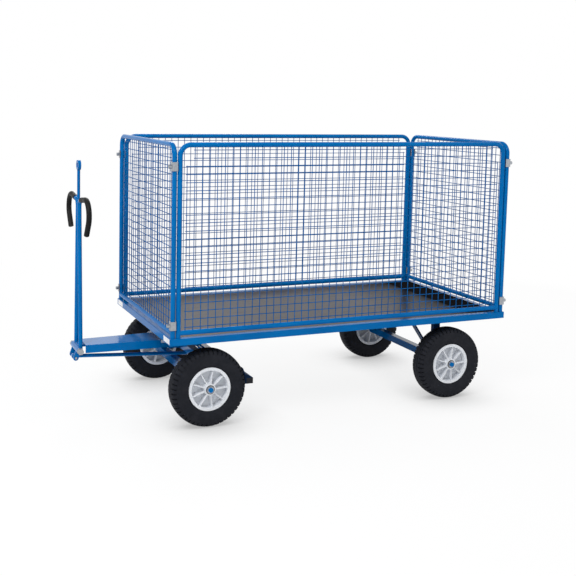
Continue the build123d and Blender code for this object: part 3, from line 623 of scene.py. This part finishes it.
FINISH_OF_NODE: dict[str, Finish] = {
    "brake_beam_caps": CAP,
    "brake_shoes": PAINTED_SHADE_SHOE,
    "rear_axle_legs": PAINTED_SHADE_GEAR,
    "rear_axle_braces": PAINTED_SHADE_GEAR,
    **{node: TUBE for node in ("deck_rim", "handle_left_leg", "handle_right_leg", "tow_eye")},
    **{f"{wall.value}_frame": TUBE for wall in Wall},
    **{f"{wall.value}_mesh": PAINTED_SHADE_WIRE for wall in Wall},
}


def deselect() -> None:
    """Leaves edit mode and selects nothing."""
    if bpy.context.object and bpy.context.object.mode != "OBJECT":
        bpy.ops.object.mode_set(mode="OBJECT")
    bpy.ops.object.select_all(action="DESELECT")


def take(name: str) -> bpy.types.Object:
    """Names the object that an operator has just added, and its mesh.

    Args:
        name: The piece's name.

    Returns:
        The active object.
    """
    piece = bpy.context.object
    piece.name = name
    piece.data.name = name
    return piece


def settle(piece: bpy.types.Object, smooth_deg: float) -> None:
    """Puts a piece's place into its mesh, closes it and shades it.

    Args:
        piece: A mesh object.
        smooth_deg: Edges flatter than this are shaded smooth.
    """
    deselect()
    piece.select_set(True)
    bpy.context.view_layer.objects.active = piece
    bpy.ops.object.transform_apply(location=True, rotation=True, scale=True)
    bpy.ops.object.mode_set(mode="EDIT")
    bpy.ops.mesh.select_all(action="SELECT")
    bpy.ops.mesh.remove_doubles(threshold=MERGE_MM * MM)
    bpy.ops.mesh.normals_make_consistent(inside=False)
    bpy.ops.object.mode_set(mode="OBJECT")
    bpy.ops.object.shade_smooth_by_angle(angle=math.radians(smooth_deg))


def pick(piece: bpy.types.Object, kind: Pick, wanted: Callable[[bpy.types.bpy_struct], bool]) -> None:
    """Selects faces or edges by a test and opens edit mode on them.

    Args:
        piece: The active mesh object, in edit mode or not.
        kind: What is selected.
        wanted: Says for each face or edge whether it is selected.
    """
    bpy.ops.object.mode_set(mode="EDIT")
    bpy.ops.mesh.select_mode(type=kind.value)
    bpy.ops.mesh.select_all(action="DESELECT")
    bpy.ops.object.mode_set(mode="OBJECT")
    for element in piece.data.polygons if kind is Pick.FACES else piece.data.edges:
        element.select = wanted(element)
    bpy.ops.object.mode_set(mode="EDIT")


def copy_of(piece: bpy.types.Object, name: str, matrix: Matrix) -> bpy.types.Object:
    """A copy with its own mesh, moved in its mesh.

    Args:
        piece: The object to copy.
        name: The copy's name.
        matrix: The move, applied to the mesh.

    Returns:
        The copy.
    """
    mesh = piece.data.copy()
    mesh.name = name
    mesh.transform(matrix)
    twin = bpy.data.objects.new(name, mesh)
    bpy.context.scene.collection.objects.link(twin)
    return twin


def dress(piece: bpy.types.Object, finish: Finish, body: str) -> None:
    """Gives a new piece its finish and its body, and reports it.

    Args:
        piece: The piece.
        finish: Its finish.
        body: The body that it rides on.
    """
    piece.data.materials.clear()
    piece.data.materials.append(finish.material())
    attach(piece, body)
    LOG.info("piece %s on %s: %d faces", piece.name, body, len(piece.data.polygons))


def middle(node: str) -> Vector:
    """Middle of a node's box."""
    low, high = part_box(node)
    return (Vector(low) + Vector(high)) / 2


@dataclass
class Tyres:
    """Four block-tread tyres over the wheel barrels, in the space of their solids.

    Attributes:
        radius: Outer radius in millimetres.
        half_width: Half of the greatest width.
        seat_radius: Radius of the bead seat.
        bead: Half of the distance between the bead faces.
        rib_groove: Where the groove beside the middle rib begins and ends, from the middle plane.
        shoulder: Where the lateral grooves begin, from the middle plane.
        tread_drop: How far below the crown the lateral grooves end.
        pitches: Tread blocks round each shoulder.
        columns: Face columns in one pitch; the last one is the groove.
        groove_mm: Depth of the tread's grooves.
        merge_mm: Points of the spun section closer than this are one.
        smooth_deg: Edges flatter than this are shaded smooth.
    """

    radius: float = 199.9
    half_width: float = 49.8
    seat_radius: float = 104.3
    bead: float = 39.3
    rib_groove: Range = (9.0, 12.0)
    shoulder: float = 22.0
    tread_drop: float = 18.5
    pitches: int = 48
    columns: int = 4
    groove_mm: float = 6.5
    merge_mm: float = 0.02
    smooth_deg: float = 40.0

    def half_profile(self) -> list[Range]:
        """Radius and distance from the middle plane, from the crown to the bead.

        Returns:
            Points in millimetres.
        """
        crown, wide = self.radius, self.half_width
        rib, groove_end = self.rib_groove
        tread = [(crown, 0.0), (crown - 0.2, 5.0), (crown - 0.4, rib), (crown - 0.6, groove_end),
                 (crown - 1.3, self.shoulder), (crown - 2.0, 29.0), (crown - 4.2, 36.0), (crown - 8.5, 41.8),
                 (crown - 15.0, 45.6), (crown - 20.5, 47.2)]
        wall = [(crown - 21.5, 46.6), (crown - 30.0, 48.6), (crown - 42.0, wide), (crown - 54.0, wide - 0.2),
                (crown - 66.0, wide - 1.8), (crown - 75.0, wide - 4.2)]
        foot = [(crown - 77.0, wide - 3.6), (crown - 80.5, wide - 4.6), (crown - 83.0, wide - 7.4),
                (crown - 87.0, self.bead), (self.seat_radius, self.bead)]
        return tread + wall + foot

    def model(self) -> bpy.types.Object:
        """One tyre about the Y axis, spun from its section, with its grooves pressed in.

        Returns:
            The tyre at the origin.
        """
        half = self.half_profile()
        section = half + [(r, -y) for r, y in reversed(half[1:])]
        deselect()
        bpy.ops.mesh.primitive_circle_add(vertices=len(section), radius=self.radius * MM)
        piece = take("tyre_pattern")
        for vertex, (r, y) in zip(piece.data.vertices, section):
            vertex.co = (r * MM, y * MM, 0.0)
        bpy.ops.object.mode_set(mode="EDIT")
        bpy.ops.mesh.select_all(action="SELECT")
        bpy.ops.mesh.spin(steps=self.pitches * self.columns, angle=math.tau, center=(0, 0, 0), axis=(0, 1, 0))
        bpy.ops.mesh.select_all(action="SELECT")
        bpy.ops.mesh.remove_doubles(threshold=self.merge_mm * MM)
        bpy.ops.mesh.normals_make_consistent(inside=False)
        pick(piece, Pick.FACES, self.in_groove)
        bpy.ops.mesh.extrude_region_shrink_fatten(TRANSFORM_OT_shrink_fatten={"value": -self.groove_mm * MM})
        bpy.ops.object.mode_set(mode="OBJECT")
        settle(piece, self.smooth_deg)
        return piece

    def in_groove(self, face: bpy.types.MeshPolygon) -> bool:
        """Whether a face of the smooth tyre lies in a groove of the tread.

        Args:
            face: A face of the spun section.

        Returns:
            True for the lateral grooves of the shoulders and the two grooves round the middle rib.
        """
        centre = face.center
        r = math.hypot(centre.x, centre.z) / MM
        off = abs(centre.y) / MM
        rib, groove_end = self.rib_groove
        if r < self.radius - self.tread_drop:
            return False
        if rib < off < groove_end:
            return True
        turn = (math.atan2(centre.z, centre.x) / math.tau) % 1.0
        column = int(turn * self.pitches * self.columns) % self.columns
        skew = 0 if centre.y > 0 else self.columns // 2
        return off > self.shoulder and (column + skew) % self.columns == self.columns - 1

    def build(self) -> None:
        """Puts a tyre on each wheel in place of its plain solid."""
        pattern = self.model()
        for wheel in Wheel:
            node = f"{wheel.value}_tyre"
            piece = copy_of(pattern, f"{wheel.value}_tread_tyre", Matrix.Translation(middle(node)))
            dress(piece, TYRE, f"{wheel.value}_wheel")
            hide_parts(node)
        bpy.data.objects.remove(pattern)


@dataclass
class CornerLabels:
    """Two blank white labels on the front face of the deck rim, near its corners.

    Attributes:
        length: Length across the cart in millimetres.
        height: Height.
        from_corner: Gap to the rim's corner.
        proud: How far a label stands out of the face.
        corner_radius: Radius of a label's corners.
        corner_steps: Straight steps in each of those arcs.
        smooth_deg: Edges flatter than this are shaded smooth.
    """

    length: float = 96.0
    height: float = 27.0
    from_corner: float = 16.0
    proud: float = 0.35
    corner_radius: float = 4.0
    corner_steps: int = 5
    smooth_deg: float = 30.0

    def plate(self, name: str, place: Vector) -> bpy.types.Object:
        """A thin plate with rounded corners.

        Args:
            name: The plate's name.
            place: Its middle in metres.

        Returns:
            The plate, with its place in its mesh.
        """
        deselect()
        bpy.ops.mesh.primitive_cube_add(size=1.0, location=place)
        piece = take(name)
        piece.scale = (self.proud * MM, self.length * MM, self.height * MM)
        settle(piece, self.smooth_deg)

        def through(edge: bpy.types.MeshEdge) -> bool:
            """Whether an edge runs through the plate's thickness."""
            first, last = (piece.data.vertices[i].co for i in edge.vertices)
            return abs(first.x - last.x) > self.proud * MM / 2

        pick(piece, Pick.EDGES, through)
        bpy.ops.mesh.bevel(offset=self.corner_radius * MM, segments=self.corner_steps, affect="EDGES")
        bpy.ops.object.mode_set(mode="OBJECT")
        settle(piece, self.smooth_deg)
        return piece

    def build(self) -> None:
        """Adds both labels."""
        low, high = (Vector(corner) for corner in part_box("deck_rim"))
        x = low.x - self.proud * MM / 2
        inset = (self.from_corner + self.length / 2) * MM
        level = (low.z + high.z) / 2
        for side, y in (("left", low.y + inset), ("right", high.y - inset)):
            piece = self.plate(f"{side}_corner_label", Vector((x, y, level)))
            dress(piece, LABEL, "chassis")


def finish_nodes() -> None:
    """Gives every node of the frame its own finish, or else that of its slot."""
    for part in frame["record"]["subparts"]:
        node = frame["nodes"][part["node"]]
        node.data.materials.clear()
        finish = FINISH_OF_NODE.get(part["node"], FINISH_OF_SLOT[part["material_slot"]])
        node.data.materials.append(finish.material())
    LOG.info("finished %d nodes", len(frame["nodes"]))


@dataclass(frozen=True)
class Lamp:
    """A large round soft lamp.

    Attributes:
        name: Its name.
        place: Its place in metres.
        size: Its diameter in metres.
        power: Its power in watts.
    """

    name: str
    place: Triple
    size: float
    power: float


@dataclass
class Studio:
    """Plain pale floor, soft lamps, white surroundings and the camera.

    Attributes:
        floor_radius: Radius of the floor in metres.
        floor_sides: Sides of its outline.
        paper: Colour of the floor.
        paper_roughness: Roughness of the floor.
        clear_radius: Radius within which the floor shows shadows.
        clear_share: Share of that radius at which they begin to fade.
        veil: Share of plain white over the floor's shading, to the camera and in reflections.
        contact_reach: How far from the tyres the soft contact shadow reaches.
        contact_span: Openness of the floor over which that shadow fades.
        contact_level: How light that shadow is where it is deepest.
        contact_samples: Rays that measure the openness.
        sky: Strength of the surrounding light at the horizon and overhead.
        sky_span: Heights of the sky, as sines, between which it grows.
        lamps: The lamps.
        target: What they are aimed at, in metres.
        focal_px: Focal length in pixels of the photograph's frame.
        frame_px: Width of that frame.
        sensor_mm: Width of the camera's sensor.
        yaw_deg: Turn of the view from +Y towards +X.
        pitch_deg: Tilt of the view, negative downwards.
        roll_deg: Turn about the line of sight.
        stand: Camera place in millimetres, measured from the middle of the deck's front edge on the floor.
        shift: Lens shift as shares of the frame.
    """

    floor_radius: float = 40.0
    floor_sides: int = 96
    paper: str = "#F4F4F4"
    paper_roughness: float = 0.9
    clear_radius: float = 4.5
    clear_share: float = 0.45
    veil: float = 0.88
    contact_reach: float = 0.3
    contact_span: Range = (0.35, 0.95)
    contact_level: float = 0.5
    contact_samples: int = 12
    sky: Range = (0.2, 0.75)
    sky_span: Range = (-0.1, 0.9)
    lamps: tuple[Lamp, ...] = (
        Lamp("key_lamp", (-4.2, -3.2, 5.4), 3.0, 250.0),
        Lamp("fill_lamp", (4.6, -3.6, 3.4), 3.6, 35.0),
        Lamp("back_lamp", (1.0, 5.2, 4.6), 3.0, 120.0),
    )
    target: Triple = (0.0, 0.0, 0.6)
    focal_px: float = 930.4
    frame_px: float = 576.0
    sensor_mm: float = 36.0
    yaw_deg: float = 21.91
    pitch_deg: float = -5.64
    roll_deg: float = 1.03
    stand: Triple = (-1409.5, -4757.8, 1665.9)
    shift: Range = (0.10, -0.17)

    def seen_rays(self, tree: Tree) -> Socket:
        """1 for rays of the camera, of reflections and of clear materials, 0 for those that only light."""
        path = add_node(tree, "ShaderNodeLightPath").outputs
        reflected = compute(tree, "MAXIMUM", path["Is Camera Ray"], path["Is Glossy Ray"])
        return compute(tree, "MAXIMUM", reflected, path["Is Transmission Ray"])

    def floor(self) -> None:
        """A wide pale disc that fades into the white surroundings."""
        deselect()
        bpy.ops.mesh.primitive_circle_add(vertices=self.floor_sides, radius=self.floor_radius,
                                          fill_type="NGON")
        piece = take("studio_floor")
        made = bpy.data.materials.new("studio_paper")
        made.use_nodes = True
        tree = made.node_tree
        shader = tree.nodes["Principled BSDF"]
        shader.inputs["Base Color"].default_value = linear(self.paper)
        shader.inputs["Roughness"].default_value = self.paper_roughness
        place = add_node(tree, "ShaderNodeTexCoord").outputs["Object"]
        away = add_node(tree, "ShaderNodeVectorMath", {0: place}, operation="LENGTH").outputs["Value"]
        fade = ramp(tree, away, (self.clear_share * self.clear_radius, self.clear_radius),
                    interpolation_type="SMOOTHSTEP")
        # painted contact shadow: the floor's white glow dims where ambient occlusion finds the tyres close
        near = add_node(tree, "ShaderNodeAmbientOcclusion", {"Distance": self.contact_reach},
                        samples=self.contact_samples)
        soft = ramp(tree, near.outputs["AO"], self.contact_span, (self.contact_level, 1.0))
        white = add_node(tree, "ShaderNodeEmission", {"Strength": soft}).outputs[0]
        veil = compute(tree, "MULTIPLY", self.seen_rays(tree), self.veil)
        share = compute(tree, "MAXIMUM", fade, veil)
        mix = add_node(tree, "ShaderNodeMixShader", {0: share, 1: shader.outputs[0], 2: white})
        tree.links.new(mix.outputs[0], tree.nodes["Material Output"].inputs["Surface"])
        piece.data.materials.append(made)

    def surroundings(self) -> None:
        """White to the camera and in reflections; as light, softer and strongest from above."""
        world = bpy.data.worlds.new("studio_white")
        bpy.context.scene.world = world
        world.use_nodes = True
        tree = world.node_tree
        backdrop = tree.nodes["Background"]
        way = add_node(tree, "ShaderNodeTexCoord").outputs["Generated"]
        height = add_node(tree, "ShaderNodeSeparateXYZ", {0: way}).outputs["Z"]
        lit = ramp(tree, height, self.sky_span, self.sky)
        level = add_node(tree, "ShaderNodeMix", {0: self.seen_rays(tree), 2: lit, 3: 1.0})
        tree.links.new(level.outputs[0], backdrop.inputs["Strength"])
        backdrop.inputs["Color"].default_value = (1.0, 1.0, 1.0, 1.0)

    def light(self) -> None:
        """Large soft lamps aimed at the cart."""
        for lamp in self.lamps:
            data = bpy.data.lights.new(lamp.name, "AREA")
            data.shape = "DISK"
            data.size = lamp.size
            data.energy = lamp.power
            hung = bpy.data.objects.new(lamp.name, data)
            bpy.context.scene.collection.objects.link(hung)
            hung.location = lamp.place
            aim = Vector(self.target) - Vector(lamp.place)
            hung.rotation_euler = aim.to_track_quat("-Z", "Y").to_euler()

    def camera(self) -> None:
        """The camera at the photograph's viewing angle."""
        yaw, pitch, roll = (math.radians(a) for a in (self.yaw_deg, self.pitch_deg, self.roll_deg))
        ahead = Vector((math.sin(yaw) * math.cos(pitch), math.cos(yaw) * math.cos(pitch), math.sin(pitch)))
        level = Vector((math.cos(yaw), -math.sin(yaw), 0.0))
        up = level.cross(ahead)
        right = level * math.cos(roll) + up * math.sin(roll)
        top = up * math.cos(roll) - level * math.sin(roll)
        data = bpy.data.cameras.new("camera")
        data.sensor_width = self.sensor_mm
        data.lens = self.focal_px / self.frame_px * self.sensor_mm
        data.shift_x, data.shift_y = self.shift
        camera = bpy.data.objects.new("camera", data)
        bpy.context.scene.collection.objects.link(camera)
        origin = Vector((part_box("deck_rim")[0][0], 0.0, 0.0))
        turn = Matrix((right, top, -ahead)).transposed().to_4x4()
        camera.matrix_world = Matrix.Translation(origin + Vector(self.stand) * MM) @ turn
        bpy.context.scene.camera = camera

    def build(self) -> None:
        """Sets up the stage, the light and the camera."""
        self.floor()
        self.surroundings()
        self.light()
        self.camera()
        bpy.context.scene.view_settings.view_transform = "Standard"


def main() -> None:
    """Dresses the cart and sets the stage."""
    logging.basicConfig(level=logging.INFO, format="%(message)s")
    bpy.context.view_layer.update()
    finish_nodes()
    Tyres().build()
    CornerLabels().build()
    Studio().build()
    bpy.context.view_layer.update()


if __name__ == "__main__":
    main()
